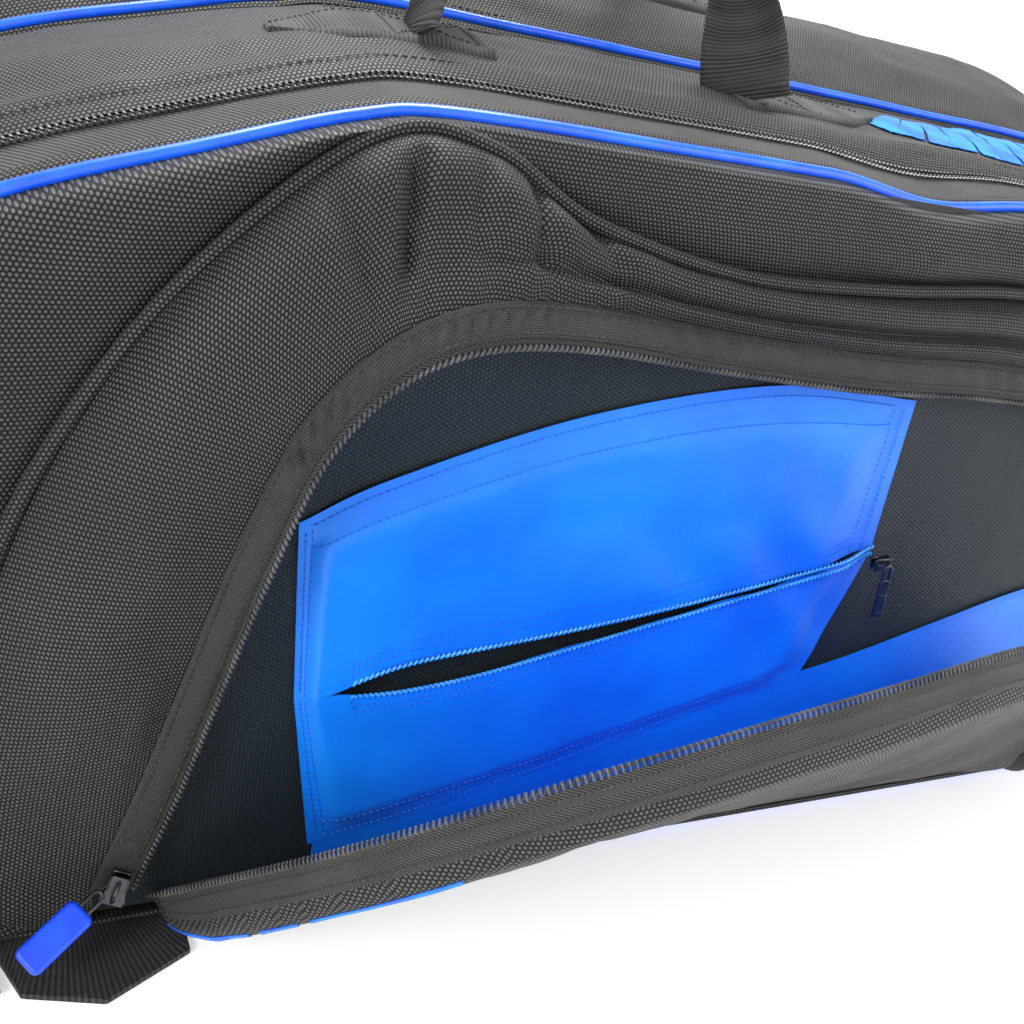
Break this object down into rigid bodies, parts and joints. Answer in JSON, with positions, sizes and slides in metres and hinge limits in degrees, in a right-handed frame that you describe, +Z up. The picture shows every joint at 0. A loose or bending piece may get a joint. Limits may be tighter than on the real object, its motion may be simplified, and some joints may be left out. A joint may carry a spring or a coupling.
{
  "type": "racket tournament bag",
  "caption": "Long two-compartment racket bag standing on its base, with an open side pocket, blue piping, inner zip pocket, carry handles and stowed shoulder straps.",
  "frame": {"origin": "middle of the base panel, on the surface the bag stands on", "axes": "+X along the bag towards its tail end with the grab handle, -Y out of the side with the open pocket, +Z up"},
  "size_m": [0.8438, 0.4311, 0.5149],
  "materials": {
    "bag_fabric": "charcoal polyester jacquard with a small hexagonal weave, soft sheen",
    "mesh_lining": "dark hexagonal mesh lining",
    "divider_lining": "brushed grey lining over foam",
    "padded_fabric": "black padded strap fabric",
    "webbing": "black ribbed webbing",
    "zip_tape": "black herringbone zip tape",
    "zip_coil": "dark nylon coil",
    "blue_zip_coil": "blue nylon coil",
    "blue_nylon": "blue coated nylon with a satin sheen",
    "blue_vinyl": "glossy blue vinyl piping",
    "blue_rubber": "moulded blue rubber",
    "slider_metal": "gunmetal plated zinc",
    "black_plastic": "black moulded acetal"
  },
  "bodies": {
    "bag": {"base_panel": "bag_fabric", "near_gusset": "bag_fabric", "far_gusset": "bag_fabric", "centre_divider": "divider_lining", "mid_piping": "blue_vinyl", "near_zip_inner_tape": "zip_tape", "near_zip_inner_coil": "zip_coil", "far_zip_inner_tape": "zip_tape", "far_zip_inner_coil": "zip_coil", "near_handle_patch_left": "webbing", "near_handle_patch_right": "webbing", "far_handle_patch_left": "webbing", "far_handle_patch_right": "webbing", "near_shoulder_strap": "padded_fabric", "near_ladder_lock": "black_plastic", "near_strap_webbing": "webbing", "near_anchor_tab": "webbing", "far_shoulder_strap": "padded_fabric", "far_ladder_lock": "black_plastic", "far_strap_webbing": "webbing", "far_anchor_tab": "webbing", "end_handle": "webbing"},
    "near_lid": {"near_side_panel": "bag_fabric", "near_lid_rim": "bag_fabric", "near_piping": "blue_vinyl", "near_zip_outer_tape": "zip_tape", "near_zip_outer_coil": "zip_coil", "pocket_back_lining": "mesh_lining", "pocket_upper_wall": "bag_fabric", "pocket_upper_tape": "zip_tape", "pocket_upper_coil": "zip_coil", "pocket_zip_slider": "slider_metal", "inner_pocket_upper": "blue_nylon", "inner_pocket_lower": "blue_nylon", "inner_zip_upper_coil": "blue_zip_coil", "inner_zip_lower_coil": "blue_zip_coil"},
    "pocket_flap": {"pocket_lower_wall": "bag_fabric", "pocket_flap_lining": "blue_nylon", "pocket_lower_tape": "zip_tape", "pocket_lower_coil": "zip_coil"},
    "far_lid": {"far_side_panel": "bag_fabric", "far_lid_rim": "bag_fabric", "far_piping": "blue_vinyl", "far_zip_outer_tape": "zip_tape", "far_zip_outer_coil": "zip_coil", "far_pocket_shell": "bag_fabric", "far_pocket_zip": "zip_coil"},
    "near_slider": {"near_zip_slider": "slider_metal"},
    "near_pull": {"near_zip_pull": "blue_rubber"},
    "far_slider": {"far_zip_slider": "slider_metal"},
    "far_pull": {"far_zip_pull": "blue_rubber"},
    "pocket_pull": {"pocket_zip_pull": "blue_rubber"},
    "inner_slider": {"inner_zip_slider": "slider_metal"},
    "inner_pull": {"inner_zip_pull": "slider_metal"},
    "near_handle": {"near_handle": "webbing", "handle_wrap": "padded_fabric"},
    "far_handle": {"far_handle": "webbing"},
    "far_pocket_slider": {"far_pocket_slider": "slider_metal"},
    "far_pocket_pull": {"far_pocket_pull": "blue_rubber"}
  },
  "joints": [
    {"name": "near_lid_hinge", "type": "hinge", "parent": "bag", "child": "near_lid", "pos_m": [0, -0.115, 0.004], "axis": [1, 0, 0], "range_deg": [0, 18]},
    {"name": "far_lid_hinge", "type": "hinge", "parent": "bag", "child": "far_lid", "pos_m": [0, 0.115, 0.004], "axis": [-1, 0, 0], "range_deg": [0, 35]},
    {"name": "pocket_flap_hinge", "type": "hinge", "parent": "near_lid", "child": "pocket_flap", "pos_m": [0.05, -0.121, 0.01], "axis": [-1, 0, 0], "range_deg": [0, 21]},
    {"name": "near_handle_hinge", "type": "hinge", "parent": "bag", "child": "near_handle", "pos_m": [-0.025, -0.063, 0.35449], "axis": [1, 0, 0], "range_deg": [0, 90]},
    {"name": "far_handle_hinge", "type": "hinge", "parent": "bag", "child": "far_handle", "pos_m": [-0.025, 0.078, 0.39402], "axis": [-1, 0, 0], "range_deg": [0, 90]},
    {"name": "near_zip_slide", "type": "slide", "parent": "bag", "child": "near_slider", "axis": [-1, 0, 0], "range_m": [0, 0.3]},
    {"name": "near_zip_pull_hinge", "type": "hinge", "parent": "near_slider", "child": "near_pull", "pos_m": [0.2087, -0.092, 0.33913], "axis": [0, -1, 0], "range_deg": [0, 95]},
    {"name": "far_zip_slide", "type": "slide", "parent": "bag", "child": "far_slider", "axis": [-1, 0, 0], "range_m": [0, 0.3]},
    {"name": "far_zip_pull_hinge", "type": "hinge", "parent": "far_slider", "child": "far_pull", "pos_m": [0.2087, 0.092, 0.39096], "axis": [0, -1, 0], "range_deg": [0, 95]},
    {"name": "pocket_zip_pull_hinge", "type": "hinge", "parent": "near_lid", "child": "pocket_pull", "pos_m": [-0.2215, -0.1385, 0.0345], "axis": [-0.491, 0, 0.8712], "range_deg": [0, 80]},
    {"name": "inner_zip_slide", "type": "slide", "parent": "near_lid", "child": "inner_slider", "axis": [-0.9729, 0, -0.2311], "range_m": [0, 0.21]},
    {"name": "inner_zip_pull_hinge", "type": "hinge", "parent": "inner_slider", "child": "inner_pull", "pos_m": [0.1275, -0.1375, 0.156], "axis": [-1, 0, 0], "range_deg": [0, 60]},
    {"name": "far_pocket_zip_slide", "type": "slide", "parent": "far_lid", "child": "far_pocket_slider", "axis": [-1, 0, 0], "range_m": [0, 0.3]},
    {"name": "far_pocket_pull_hinge", "type": "hinge", "parent": "far_pocket_slider", "child": "far_pocket_pull", "pos_m": [0.15, 0.1725, 0.231], "axis": [1, 0, 0], "range_deg": [0, 90]}
  ]
}
